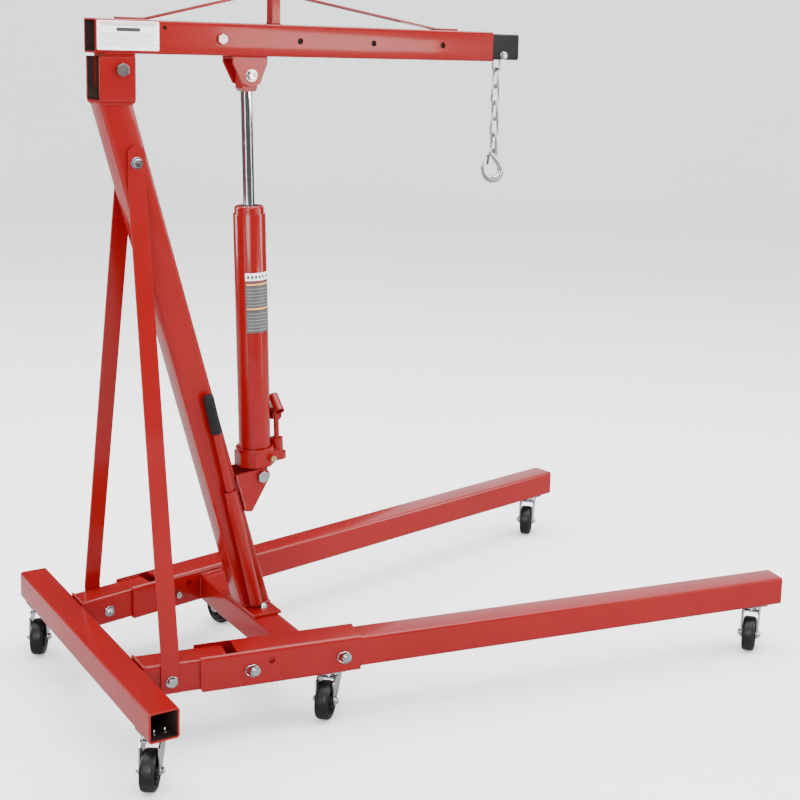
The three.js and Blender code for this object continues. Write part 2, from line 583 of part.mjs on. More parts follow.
function buildRam() {
  const rod = rodAlongZ(RAM.radius, RAM.foot + 10, RAM_LENGTH - 12, 32);
  const piston = rodAlongZ(RAM.piston, RAM.foot, RAM.foot + 12, 32);
  const eye = new THREE.Shape();
  eye.absarc(0, RAM_LENGTH, RAM.eyeRadius, 0, 180 * DEGREE);
  eye.lineTo(-RAM.eyeRadius, RAM_LENGTH - 24);
  eye.lineTo(-RAM.radius, RAM_LENGTH - 30);
  eye.lineTo(RAM.radius, RAM_LENGTH - 30);
  eye.lineTo(RAM.eyeRadius, RAM_LENGTH - 24);
  eye.closePath();
  const whole = join(rod, piston, uprightPlate(eye, RAM.eyeWidth, 0, 10));
  const hole = rodAlongY(RAM.bore, -40, 40).translate(0, 0, RAM_LENGTH);
  makeMesh('ram', cut(whole, hole), POLISHED_CHROME, jack);
}

// The plunger's flat head has a slot, because the rocker's cross pin swings on an arc.
function buildPlunger() {
  const { radius, foot, headHalf } = PLUNGER;
  const whole = join(
    rodAlongZ(radius, foot, ROCKER.z, 20),
    block(-radius, radius, -8.5, 10.5, ROCKER.z - headHalf, ROCKER.z + headHalf),
  );
  const clear = ROCKER.crossPinRadius + 0.7;
  const slot = block(-10, 10, -clear, 7.6, ROCKER.z - clear, ROCKER.z + clear);
  makeMesh('pump_plunger', cut(whole, slot), RED_ENAMEL, jack).position.set(PUMP.x, 0, 0);
}

// A handle socket on two cheeks, which turn on the cylinder's pin and lift the plunger by a cross pin.
function buildRocker() {
  const toPlunger = -ROCKER.y;
  const socketAt = (geometry) => geometry.rotateX(HANDLE_SOCKET.tilt - 90 * DEGREE)
    .translate(0, HANDLE_SOCKET.y - ROCKER.y, HANDLE_SOCKET.z - ROCKER.z);
  const half = HANDLE_SOCKET.length / 2;
  const cheek = new THREE.Shape();
  cheek.absarc(0, 0, 9, -90 * DEGREE, 40 * DEGREE);
  cheek.lineTo(toPlunger + 4, HANDLE_SOCKET.z - ROCKER.z + 6);
  cheek.lineTo(toPlunger - 9, HANDLE_SOCKET.z - ROCKER.z - 6);
  cheek.absarc(toPlunger, 0, 6, 180 * DEGREE, 270 * DEGREE);
  cheek.closePath();
  const centre = ROCKER.cheekInside + ROCKER.cheek / 2;
  const outside = ROCKER.cheekInside + ROCKER.cheek;
  const cheekAt = (x) => extrude(cheek, ROCKER.cheek, 5).rotateX(90 * DEGREE).rotateZ(90 * DEGREE)
    .translate(x - ROCKER.cheek / 2, 0, 0);
  const whole = join(
    socketAt(rodAlongZ(HANDLE_SOCKET.outer, -half, half, 24)),
    cheekAt(centre),
    cheekAt(-centre),
    rodAlongX(ROCKER.crossPinRadius, -outside, outside, 12).translate(0, toPlunger, 0),
  );
  const rocker = cut(
    whole,
    socketAt(rodAlongZ(HANDLE_SOCKET.inner, -half - 1, half - 3, 24)),
    rodAlongX(ROCKER.pinRadius + 0.5, -20, 20, 16),
  );
  makeMesh('pump_rocker', rocker, RED_ENAMEL, jack).position.set(PUMP.x, ROCKER.y, ROCKER.z);
}

function buildReleaseValve() {
  const face = COLLAR.across / 2;
  const valve = join(
    rodAlongY(4.8, -face - 13, -30, 16),
    rodAlongY(7, -face - 13, -face - 8, 6),
  );
  const slot = block(-1, 1, -face - 14, -face - 11, -10, 10);
  makeMesh('release_valve', cut(valve, slot), BRASS, jack).position.set(20, 0, 40);
}

// ---------------------------------------------------------------- casters

// The wheel's axis is Y, and a flat of its faceted tread faces down.
function wheelGeometry() {
  const tread = WHEEL.radius / Math.cos(180 * DEGREE / WHEEL.segments);
  const side = [[WHEEL.bore, 16], [12, 16], [13, 11], [30, 11], [32, 15], [37, 15], [tread, 11]];
  const profile = [...side, ...side.map(([radius, y]) => [radius, -y]).reverse(), side[0]];
  const points = profile.map(([radius, y]) => new THREE.Vector2(radius, y));
  return new THREE.LatheGeometry(points.reverse(), WHEEL.segments).rotateY(180 * DEGREE / WHEEL.segments);
}

// The fork hangs on a round swivel head, and its two cheeks hold the axle behind the swivel's axis.
function forkSolid(mountZ) {
  const headTop = mountZ - CASTER.plate - 2 * GAP;
  const crownTop = headTop - CASTER.headHeight;
  const cheek = new THREE.Shape();
  cheek.moveTo(-19, crownTop);
  cheek.lineTo(-17, crownTop - 16);
  cheek.lineTo(CASTER.trail - 11, WHEEL.radius - 2);
  cheek.absarc(CASTER.trail, WHEEL.radius, 11, 190 * DEGREE, 360 * DEGREE);
  cheek.lineTo(CASTER.trail + 10, crownTop - 8);
  cheek.lineTo(26, crownTop);
  cheek.closePath();
  const y = (CASTER.gap + CASTER.cheek) / 2;
  const outside = CASTER.gap / 2 + CASTER.cheek;
  return join(
    rodAlongZ(CASTER.headRadius, crownTop - 1, headTop, 24),
    block(-19, 26, -outside, outside, crownTop - CASTER.crown, crownTop),
    uprightPlate(cheek, CASTER.cheek, y),
    uprightPlate(cheek, CASTER.cheek, -y),
    rodAlongY(5, -outside - 1, outside + 1, 16).translate(CASTER.trail, 0, WHEEL.radius),
    rodAlongY(7.5, outside, outside + 5, 6).translate(CASTER.trail, 0, WHEEL.radius),
    rodAlongY(7.5, -outside - 5, -outside, 6).translate(CASTER.trail, 0, WHEEL.radius),
  );
}

function buildCaster(name, x, y, mountZ, plateAngle, heading) {
  const plate = extrude(roundedRectangle(CASTER.plateSize, CASTER.plateSize, 6), CASTER.plate);
  const plateMesh = makeMesh(`caster_plate_${name}`, plate, BRIGHT_ZINC, base);
  plateMesh.position.set(x, y, mountZ - CASTER.plate - GAP);
  plateMesh.rotation.z = plateAngle;

  const swivel = makeGroup(base, x, y, 0);
  swivel.rotation.z = heading * DEGREE;
  makeMesh(`caster_fork_${name}`, forkSolid(mountZ), BRIGHT_ZINC, swivel);
  const wheel = makeMesh(`caster_wheel_${name}`, wheelGeometry(), BLACK_POLYMER, swivel);
  wheel.position.set(CASTER.trail, 0, WHEEL.radius);
}

function buildCasters() {
  const alongLeg = (side, along) => [
    along * Math.cos(LEG_SPLAY),
    side * (LEG_ORIGIN_Y + along * Math.sin(LEG_SPLAY)),
  ];
  const rearTop = BASE_AXIS_Z - BASE_TUBE / 2;
  const middleTop = BASE_AXIS_Z - SOCKET_TUBE / 2;
  const frontTop = BASE_AXIS_Z - LEG_TUBE / 2;
  const rearX = BASE_TUBE / 2;
  buildCaster('rear_right', rearX, -REAR_CASTER_Y, rearTop, 0, -124);
  buildCaster('rear_left', rearX, REAR_CASTER_Y, rearTop, 0, -119);
  buildCaster('middle_right', ...alongLeg(RIGHT, MIDDLE_CASTER_ALONG), middleTop, -LEG_SPLAY, -135);
  buildCaster('middle_left', ...alongLeg(LEFT, MIDDLE_CASTER_ALONG), middleTop, LEG_SPLAY, 105);
  buildCaster('front_right', ...alongLeg(RIGHT, FRONT_CASTER_ALONG), frontTop, -LEG_SPLAY, -141);
  buildCaster('front_left', ...alongLeg(LEFT, FRONT_CASTER_ALONG), frontTop, LEG_SPLAY, -133);
}

// ---------------------------------------------------------------- chain and hook

// A torus whose upper and lower halves are moved apart, which leaves two straight sides.
function linkGeometry() {
  const steps = 16;
  const torus = new THREE.TorusGeometry(LINK.halfWidth, LINK.wire, 8, steps);
  torus.rotateZ(180 * DEGREE / steps).rotateX(90 * DEGREE);
  const stretch = LINK.inside / 2 + LINK.wire - LINK.halfWidth;
  const position = torus.attributes.position;
  for (let index = 0; index < position.count; index += 1) {
    position.setZ(index, position.getZ(index) + Math.sign(position.getZ(index)) * stretch);
  }
  return torus;
}

function linkCentreZ(index) {
  const first = CHAIN_BOLT.z + CHAIN_BOLT.radius + GAP - LINK.inside / 2;
  return first - index * (LINK.inside - GAP - 0.1);
}

function buildChain() {
  for (let index = 0; index < LINK.count; index += 1) {
    const link = makeMesh(`chain_link_${index + 1}`, linkGeometry(), BRIGHT_ZINC, base);
    link.position.set(CHAIN_BOLT.x, 0, linkCentreZ(index));
    link.rotation.z = index % 2 === 0 ? 0 : 90 * DEGREE;
  }
}

// The hook hangs on the last link: an eye, a thick bow and a tip that turns up at the rear.
function buildHook() {
  const lastInside = linkCentreZ(LINK.count - 1) - LINK.inside / 2;
  const eyeZ = lastInside + GAP + HOOK.eyeWire * 2 - HOOK.eyeRadius;
  const hook = makeGroup(base, CHAIN_BOLT.x, 0, eyeZ);
  const eye = new THREE.TorusGeometry(HOOK.eyeRadius - HOOK.eyeWire, HOOK.eyeWire, 10, 20)
    .rotateX(90 * DEGREE);

  const bow = new THREE.CatmullRomCurve3([[0, -10], [8, -17], [17, -28], [21, -42], [18, -54], [8, -61],
    [-7, -61.5], [-19, -54], [-26, -43], [-28, -32], [-27.5, -24]].map(([x, z]) => new THREE.Vector3(x, 0, z)));
  const section = new THREE.Shape();
  section.absarc(0, 0, HOOK.wire, 0, 360 * DEGREE);
  const body = new THREE.ExtrudeGeometry(section, { steps: 24, curveSegments: 5, extrudePath: bow });
  const shoulder = new THREE.SphereGeometry(7.5, 12, 8).translate(1, 0, -11);
  const tip = new THREE.SphereGeometry(HOOK.wire, 12, 8).translate(-27.5, 0, -24);
  makeMesh('hook', join(eye, body, shoulder, tip), BRIGHT_ZINC, hook);

  const latchShape = new THREE.Shape();
  latchShape.absarc(-13.5, -8, 3.2, 60 * DEGREE, 240 * DEGREE);
  latchShape.lineTo(-18, -27);
  latchShape.lineTo(-14, -28.5);
  latchShape.closePath();
  makeMesh('hook_latch', uprightPlate(latchShape, 6), BRIGHT_ZINC, hook);
}

// ---------------------------------------------------------------- assembly

buildCrossbar();
for (const [side, word] of [[RIGHT, 'right'], [LEFT, 'left']]) {
  const line = legLineGroup(side);
  buildStub(line, side, word);
  buildSocket(line, word);
  buildLeg(line, word);
  buildLegPins(line, side, word);
  buildBrace(side, word);
}
buildCrossmember();
buildMast();
buildMastHead();
buildPivotBolts();
buildJackBracket();
buildHandle();
buildBoom();
buildExtension();
buildTruss();
buildClevis();
buildLockBolt();
buildJackBase();
buildCylinder();
buildRam();
buildPlunger();
buildRocker();
buildReleaseValve();
buildCasters();
buildChain();
buildHook();

export default crane;
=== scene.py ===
"""Looks of a garage engine hoist, built round its CAD frame.

Lengths in the shape code are millimetres; place() and put() turn them into the frame's metres.
In the crane's own coordinates x is counted from the crossbar's rear face, as in the CAD source.
"""

import json
import math

import bmesh
import bpy
from mathutils import Matrix, Vector


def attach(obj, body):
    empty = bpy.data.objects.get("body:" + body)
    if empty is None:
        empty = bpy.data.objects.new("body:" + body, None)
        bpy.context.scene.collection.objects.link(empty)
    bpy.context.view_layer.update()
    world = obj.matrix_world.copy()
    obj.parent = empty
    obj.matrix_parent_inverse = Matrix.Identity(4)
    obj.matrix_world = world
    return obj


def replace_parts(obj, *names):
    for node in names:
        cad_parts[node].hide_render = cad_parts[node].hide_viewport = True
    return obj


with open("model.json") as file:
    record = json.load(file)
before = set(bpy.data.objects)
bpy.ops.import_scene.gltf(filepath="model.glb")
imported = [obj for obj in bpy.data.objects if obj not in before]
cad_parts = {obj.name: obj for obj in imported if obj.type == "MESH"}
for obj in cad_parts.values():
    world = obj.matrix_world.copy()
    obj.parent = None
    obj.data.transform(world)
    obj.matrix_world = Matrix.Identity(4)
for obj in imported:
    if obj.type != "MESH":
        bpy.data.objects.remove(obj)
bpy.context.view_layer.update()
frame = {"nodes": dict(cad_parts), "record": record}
NODES = frame["nodes"]

# ---------------------------------------------------------------- driving dimensions

ORIGIN_X = 757
SPLAY = math.radians(10.9)
LEG_ORIGIN_Y = 172
BASE_AXIS_Z = 138
MAST_LEAN = math.radians(15.54)
JACK_PIVOT = (396, 458)
RAM_PIVOT = (370, 1311)
RAM_LENGTH = math.hypot(RAM_PIVOT[0] - JACK_PIVOT[0], RAM_PIVOT[1] - JACK_PIVOT[1])
RAM_TILT = math.atan2(RAM_PIVOT[0] - JACK_PIVOT[0], RAM_PIVOT[1] - JACK_PIVOT[1])
ROD_RADIUS = 12
CYLINDER_RADIUS = 34
BOOM_AXIS_Z = 1383
HOLDER_LEAN = math.radians(13.2)
CASTER_TRAIL = 27
WHEEL_RADIUS = 40
LINK_INSIDE = 37.5
LINK_WIRE = 3
LINK_HALF_WIDTH = 9.2
LINK_PITCH = LINK_INSIDE - 0.4
LINK_COUNT = 6
CHAIN_X = 994
CHAIN_BOLT_Z = 1363.5
CHAIN_BOLT_RADIUS = 4
FIRST_LINK_Z = CHAIN_BOLT_Z + CHAIN_BOLT_RADIUS + 0.3 - LINK_INSIDE / 2
LEG_PIN_ALONG = {"rear": 287, "front": 479}
LEG_PIN_ABOVE = -4
SOCKET_HALF = 37.5
STUB_HALF = 32.5
BRACE_BOLT_X = 121
WASHER = 1.6
SIDES = {"right": -1, "left": 1}
HALF_TURN = math.pi
SHARP_EDGE = math.radians(35)
BEVEL_FROM = math.radians(38)

MM = Matrix.Scale(0.001, 4)
TO_FRAME = Matrix.Translation((-ORIGIN_X / 1000, 0, 0)) @ MM
TURN = {
    "X": Matrix.Rotation(math.radians(90), 4, "Y"),
    "Y": Matrix.Rotation(math.radians(-90), 4, "X"),
    "Z": Matrix.Identity(4),
}


def place(x, y, z, axis="Z", heading=0.0):
    """Puts a shape made round +Z at a point of the crane, its +Z along an axis, turned about Z."""
    return TO_FRAME @ Matrix.Translation((x, y, z)) @ Matrix.Rotation(heading, 4, "Z") @ TURN[axis]


def on_leg(side, along, across, above, axis="Z"):
    """Puts a shape on a leg's centre line: along it, across it (outwards positive), and above it."""
    start = Matrix.Translation((0, side * LEG_ORIGIN_Y, BASE_AXIS_Z))
    line = start @ Matrix.Rotation(side * SPLAY, 4, "Z")
    flip = Matrix.Rotation(HALF_TURN, 4, "Z") if side < 0 and axis == "Y" else Matrix.Identity(4)
    return TO_FRAME @ line @ Matrix.Translation((along, side * across, above)) @ flip @ TURN[axis]


def in_jack(x, y, z, axis="Z"):
    """Puts a shape in the jack, whose +Z runs along the ram from the lower pivot."""
    pivot = Matrix.Translation((JACK_PIVOT[0], 0, JACK_PIVOT[1]))
    tilted = pivot @ Matrix.Rotation(RAM_TILT, 4, "Y")
    return TO_FRAME @ tilted @ Matrix.Translation((x, y, z)) @ TURN[axis]


def leg_y(along_x, inwards=0.0):
    """How far from the middle a leg's centre line is at an x, less a distance square to the leg."""
    return LEG_ORIGIN_Y + along_x * math.tan(SPLAY) - inwards / math.cos(SPLAY)


# ---------------------------------------------------------------- materials


class Surface:
    """A Principled material whose colour, roughness and bump come from noise in object space.

    Each of those methods returns the surface, so that they can be called in a row.
    """

    def __init__(self, name, metallic=0.0, coat=0.0, coat_roughness=0.1, specular=0.5):
        self.slot = name
        self.material = bpy.data.materials.new(f"{name}_look")
        self.material.use_nodes = True
        self.nodes = self.material.node_tree.nodes
        self.links = self.material.node_tree.links
        self.shader = self.nodes["Principled BSDF"]
        self.shader.inputs["Metallic"].default_value = metallic
        self.shader.inputs["Coat Weight"].default_value = coat
        self.shader.inputs["Specular IOR Level"].default_value = specular
        self.shader.inputs["Coat Roughness"].default_value = coat_roughness
        self.place = self.nodes.new("ShaderNodeTexCoord")

    def noise(self, scale, detail):
        texture = self.nodes.new("ShaderNodeTexNoise")
        texture.inputs["Scale"].default_value = scale
        texture.inputs["Detail"].default_value = detail
        self.links.new(self.place.outputs["Object"], texture.inputs["Vector"])
        return texture.outputs["Fac"]

    def ramp(self, factor, stops):
        node = self.nodes.new("ShaderNodeValToRGB")
        for element, (position, colour) in zip(node.color_ramp.elements, stops):
            element.position = position
            element.color = (*colour, 1)
        self.links.new(factor, node.inputs["Fac"])
        return node.outputs["Color"]

    def colour(self, dark, light, scale, detail=3.0):
        cloud = self.noise(scale, detail)
        blend = self.ramp(cloud, [(0.2, dark), (0.8, light)])
        self.links.new(blend, self.shader.inputs["Base Color"])
        return self

    def roughness(self, low, high, scale):
        cloud = self.noise(scale, 4.0)
        blend = self.ramp(cloud, [(0.1, (low, low, low)), (0.9, (high, high, high))])
        self.links.new(blend, self.shader.inputs["Roughness"])
        return self

    def bump(self, scale, strength, distance):
        node = self.nodes.new("ShaderNodeBump")
        node.inputs["Strength"].default_value = strength
        node.inputs["Distance"].default_value = distance
        self.links.new(self.noise(scale, 2.0), node.inputs["Height"])
        self.links.new(node.outputs["Normal"], self.shader.inputs["Normal"])
        return self


def make_materials():
    red = Surface("red_enamel", coat=0.2, coat_roughness=0.05, specular=0.22)
    red.colour((0.142, 0.0022, 0.0024), (0.176, 0.0032, 0.0034), 3)
    red.roughness(0.17, 0.26, 5).bump(420, 0.04, 0.0004)
    black = Surface("black_paint", specular=0.16)
    black.colour((0.004, 0.004, 0.0045), (0.009, 0.009, 0.0095), 20)
    black.roughness(0.34, 0.5, 30).bump(500, 0.15, 0.0004)
    zinc = Surface("bright_zinc", metallic=1.0)
    zinc.colour((0.34, 0.35, 0.37), (0.56, 0.57, 0.59), 40)
    zinc.roughness(0.08, 0.24, 60).bump(260, 0.05, 0.0003)
    chrome = Surface("polished_chrome", metallic=1.0)
    chrome.colour((0.74, 0.74, 0.77), (0.80, 0.80, 0.83), 4, detail=1.0)
    chrome.roughness(0.04, 0.07, 8)
    wheel = Surface("wheel_polymer", specular=0.22)
    wheel.colour((0.003, 0.003, 0.0035), (0.007, 0.0068, 0.0068), 45)
    wheel.roughness(0.28, 0.45, 70).bump(350, 0.2, 0.0004)
    rubber = Surface("grip_rubber", specular=0.16)
    rubber.colour((0.005, 0.005, 0.006), (0.010, 0.010, 0.011), 80)
    rubber.roughness(0.55, 0.8, 120).bump(600, 0.3, 0.0004)
    brass = Surface("brass", metallic=1.0)
    brass.colour((0.60, 0.46, 0.22), (0.74, 0.60, 0.33), 90)
    brass.roughness(0.29, 0.45, 140).bump(400, 0.1, 0.0003)
    steel = Surface("dark_steel", metallic=0.6, specular=0.3)
    steel.colour((0.035, 0.036, 0.04), (0.075, 0.076, 0.082), 60)
    steel.roughness(0.3, 0.45, 80).bump(300, 0.1, 0.0003)
    # Near-black colour for the hollows: painted shade inside the mast's head, and in the open tube ends
    # unpainted steel darkened further as painted shade.
    bare_steel_and_shade = Surface("tube_inside", specular=0.1)
    bare_steel_and_shade.colour((0.010, 0.006, 0.005), (0.026, 0.014, 0.011), 25)
    bare_steel_and_shade.roughness(0.6, 0.85, 40).bump(200, 0.2, 0.0005)
    surfaces = (red, black, zinc, chrome, wheel, rubber, brass, steel, bare_steel_and_shade)
    return {surface.slot: surface.material for surface in surfaces}


def make_print(name, dark, light):
    """Printed film: nearly even, with a little fading and a soft gloss."""
    film = Surface(name, coat=0.3, coat_roughness=0.2)
    return film.colour(dark, light, 60).roughness(0.35, 0.5, 40).material


MATERIALS = make_materials()
PRINTS = {
    "white": make_print("print_white", (0.74, 0.75, 0.76), (0.84, 0.84, 0.84)),
    "grey": make_print("print_grey", (0.30, 0.31, 0.32), (0.38, 0.39, 0.40)),
    "ash": make_print("print_ash", (0.13, 0.125, 0.125), (0.17, 0.165, 0.165)),
    "slate": make_print("print_slate", (0.040, 0.036, 0.036), (0.055, 0.050, 0.050)),
    "rose": make_print("print_rose", (0.56, 0.42, 0.42), (0.62, 0.48, 0.48)),
    "black": make_print("print_black", (0.018, 0.018, 0.02), (0.03, 0.03, 0.032)),
    "orange": make_print("print_orange", (0.70, 0.24, 0.02), (0.80, 0.31, 0.04)),
}

# ---------------------------------------------------------------- shape helpers


def finish_piece(name, shape, material, body, matrix, bevel=0.0):
    """Makes an object of a bmesh that was shaped in millimetres, and lets it ride on a CAD body."""
    shape.transform(matrix)
    bmesh.ops.recalc_face_normals(shape, faces=shape.faces)
    for face in shape.faces:
        face.smooth = True
    for edge in shape.edges:
        edge.smooth = len(edge.link_faces) == 2 and edge.calc_face_angle() < SHARP_EDGE
    mesh = bpy.data.meshes.new(name)
    shape.to_mesh(mesh)
    shape.free()
    mesh.materials.append(material)
    piece = bpy.data.objects.new(name, mesh)
    bpy.context.scene.collection.objects.link(piece)
    if bevel:
        add_bevel(piece, bevel)
    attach(piece, body)
    return piece


def add_bevel(piece, width_mm):
    bevel = piece.modifiers.new("edge", "BEVEL")
    bevel.width = width_mm / 1000
    bevel.segments = 2
    bevel.limit_method = "ANGLE"
    bevel.angle_limit = BEVEL_FROM
    bevel.harden_normals = True


def put(name, shape, slot, body, matrix, bevel=0.0, look=None):
    """Finishes a piece in its slot's material, or in the material of another look. Bevels are mm."""
    return finish_piece(name, shape, MATERIALS[look or slot], body, matrix, bevel=bevel)


def lathe(profile, segments=48):
    """Turns a profile of (radius, z) about Z. A radius of 0 closes the shape there."""
    shape = bmesh.new()
    rings = []
    turn = 2 * math.pi / segments
    for radius, z in profile:
        count = 1 if radius == 0 else segments
        rings.append([shape.verts.new((radius * math.cos(turn * i), radius * math.sin(turn * i), z))
                      for i in range(count)])
    for low, high in zip(rings, rings[1:]):
        for i in range(segments):
            near = [low[i % len(low)], low[(i + 1) % len(low)]]
            far = [high[(i + 1) % len(high)], high[i % len(high)]]
            unique = list(dict.fromkeys(near + far))
            if len(unique) > 2:
                shape.faces.new(unique)
    return shape


def tube(points, radius, sides, closed=False):
    """A round rod along points. The radius is one number, or one for each point."""
    points = [Vector(point) for point in points]
    count = len(points)
    radii = radius if isinstance(radius, list) else [radius] * count
    shape = bmesh.new()
    rings = []
    across = None
    turn = 2 * math.pi / sides
    for i, point in enumerate(points):
        before = points[i - 1] if closed or i > 0 else point
        after = points[(i + 1) % count] if closed or i < count - 1 else point
        ahead = (after - before).normalized()
        if across is None:
            across = ahead.orthogonal().normalized()
        across = (across - ahead * across.dot(ahead)).normalized()
        up = ahead.cross(across)
        spokes = [across * math.cos(turn * j) + up * math.sin(turn * j) for j in range(sides)]
        rings.append([shape.verts.new(point + radii[i] * spoke) for spoke in spokes])
    pairs = list(zip(rings, rings[1:]))
    if closed:
        last, first = rings[-1], rings[0]
        start = min(range(sides), key=lambda j: (first[j].co - last[0].co).length)
        pairs.append((last, first[start:] + first[:start]))
    for low, high in pairs:
        for j in range(sides):
            shape.faces.new([low[j], low[(j + 1) % sides], high[(j + 1) % sides], high[j]])
    if not closed:
        shape.faces.new(rings[0])
        shape.faces.new(rings[-1])
    return shape


def plate(outline, thickness):
    """A flat plate of an x-y outline, from z 0 up to its thickness."""
    shape = bmesh.new()
    face = shape.faces.new([shape.verts.new((x, y, 0)) for x, y in outline])
    top = bmesh.ops.extrude_face_region(shape, geom=[face])["geom"]
    moved = [item for item in top if isinstance(item, bmesh.types.BMVert)]
    bmesh.ops.translate(shape, verts=moved, vec=(0, 0, thickness))
    return shape


def rounded_box(width, height, corner):
    """The outline of a rectangle about the origin, with round corners."""
    steps = 5
    points = []
    for quarter, (sx, sy) in enumerate([(1, 1), (-1, 1), (-1, -1), (1, -1)]):
        for step in range(steps + 1):
            angle = math.radians(90) * (quarter + step / steps)
            points.append((sx * (width / 2 - corner) + corner * math.cos(angle),
                           sy * (height / 2 - corner) + corner * math.sin(angle)))
    return points


def merged(*shapes):
    """One bmesh that holds several."""
    whole = bmesh.new()
    for shape in shapes:
        scratch = bpy.data.meshes.new("scratch")
        shape.to_mesh(scratch)
        shape.free()
        whole.from_mesh(scratch)
        bpy.data.meshes.remove(scratch)
    return whole


def lifted(shape, z):
    """The shape, moved up by z."""
    bmesh.ops.translate(shape, verts=shape.verts, vec=(0, 0, z))
    return shape


# ---------------------------------------------------------------- fasteners and welds


def hex_head(radius, height):
    """A hexagon with the chamfered crown that bolt heads and nuts have."""
    crown = radius * 0.84
    return lathe([(0, 0), (radius, 0), (radius, height * 0.82), (crown, height), (0, height)], 6)


def washer(radius, thickness=WASHER):
    """A flat washer without its hole, with a small chamfer on its upper edge."""
    edge = [(radius, 0), (radius, thickness * 0.7), (radius - 0.5, thickness)]
    return lathe([(0, 0), *edge, (0, thickness)], 36)


def bolt_head(radius, height):
    """Washer, hexagon and a shallow round dish in the head."""
    top = height + WASHER
    rim = [(radius * 0.52, top - 0.4), (radius * 0.6, top + 0.25), (0.1, top + 0.1)]
    dish = lathe([(0, top - 0.5), *rim, (0, top)], 30)
    return merged(washer(radius * 1.25), lifted(hex_head(radius, height), WASHER), dish)


def nut(radius, height, shank):
    """Washer, nut, and a threaded end that stands out of it."""
    pitch = 1.2
    thread = [(0, 0)]
    z = 0.0
    while z < height + 5:
        thread += [(shank, z), (shank * 0.9, z + pitch / 2)]
        z += pitch
    thread += [(shank * 0.8, z), (0, z)]
    return merged(washer(radius * 1.25), lifted(hex_head(radius, height), WASHER), lathe(thread, 24))


def dome_head(radius, height):
    """A low domed bolt head."""
    angles = [math.radians(degrees) for degrees in range(0, 90, 12)]
    dome = [(radius * math.cos(angle), height * math.sin(angle)) for angle in angles]
    return lathe([(0, 0), (radius, 0), *dome, (0, height)], 36)


def add_side_fasteners(word, side):
    """Brace bolts, foot bolt and caster nuts of one side. The upper brace bolt runs through the mast."""
    heading = 0 if side > 0 else HALF_TURN
    top = place(BRACE_BOLT_X, side * 37.6, 1138, "Y", heading)
    shape = nut(9.5, 7, 5) if side > 0 else bolt_head(9.5, 6)
    put(f"brace_top_bolt_{word}", shape, "bright_zinc", "frame", top, 0.3)
    low = on_leg(side, BRACE_BOLT_X, 37.9, -3, "Y")
    put(f"brace_low_bolt_{word}", bolt_head(9.5, 6), "bright_zinc", "frame", low, 0.3)
    inner = on_leg(side, BRACE_BOLT_X, -32.2, -3, "Y") @ Matrix.Rotation(HALF_TURN, 4, "X")
    put(f"brace_low_nut_{word}", nut(9.5, 7, 5), "bright_zinc", "frame", inner, 0.3)
    foot = merged(washer(12), lifted(dome_head(9, 6), WASHER))
    put(f"foot_bolt_{word}", foot, "bright_zinc", "frame", place(393, side * 47, 168.6))
    for index, x in enumerate((20, 42)):
        inside = place(x, side * 372, 112.2)
        put(f"caster_nut_{word}_{index}", nut(5.2, 3, 2.8), "bright_zinc", "frame", inside)


def add_fasteners():
    for word, side in SIDES.items():
        add_side_fasteners(word, side)
    for word, side, turned in (("head", -1, HALF_TURN), ("nut", 1, 0.0)):
        clevis = bolt_head(10.4, 7) if word == "head" else nut(10.4, 8, 6)
        spot = place(RAM_PIVOT[0], side * 27.2, RAM_PIVOT[1], "Y", turned)
        put(f"clevis_bolt_{word}", clevis, "bright_zinc", "boom", spot, 0.4)
        chain = bolt_head(7.5, 5) if word == "head" else nut(7.5, 6, 3.8)
        spot = place(CHAIN_X, side * 29.2, CHAIN_BOLT_Z, "Y", turned)
        put(f"chain_bolt_{word}", chain, "bright_zinc", "extension", spot, 0.3)


def add_bead(name, body, points, size):
    """A weld bead along a line: overlapping ripples of weld metal."""
    ripple = 1.2
    path = [Vector(point) for point in points]
    rings, sizes = [], []
    for start, end in zip(path, path[1:]):
        steps = max(2, int((end - start).length / ripple))
        for step in range(steps):
            rings.append(start.lerp(end, step / steps))
            sizes.append(size * (1.0 if step % 2 else 0.86) * (0.95 + 0.08 * math.sin(1.7 * step)))
    rings.append(path[-1])
    sizes.append(size * 0.6)
    sizes[0] = size * 0.6
    put(name, tube(rings, sizes, 8), "red_enamel", body, TO_FRAME)


def on_leg_point(side, along, across, above):
    cos, sin = math.cos(SPLAY), math.sin(SPLAY)
    x = along * cos - side * sin * across
    y = side * (LEG_ORIGIN_Y + along * sin) + cos * across
    return (x, y, BASE_AXIS_Z + above)


def mast_front_point(z, y):
    return (419.6 - (z - 168) * math.tan(MAST_LEAN), y, z)


# Beads that run along X on both sides: name, body, x from, x to, distance from the middle, z, size.
SIDE_BEADS = (
    ("weld_foot_{}", "frame", 356, 416, 32.5, 169.5, 2.6),
    ("weld_head_{}", "frame", 51, 117, 33, 1253.2, 2.4),
    ("weld_post_{}", "boom", 421, 441, 14.6, 1417, 2.0),
    ("weld_strap_{}_0", "boom", 97, 150, 14.6, 1417.2, 1.9),
    ("weld_strap_{}_1", "boom", 825, 876, 14.6, 1417.2, 1.9),
    ("weld_clevis_{}", "boom", 331, 404, 27.6, 1349.2, 2.0),
    ("weld_lug_{}", "boom", 64, 120, 32.1, 1349.4, 1.5),
)


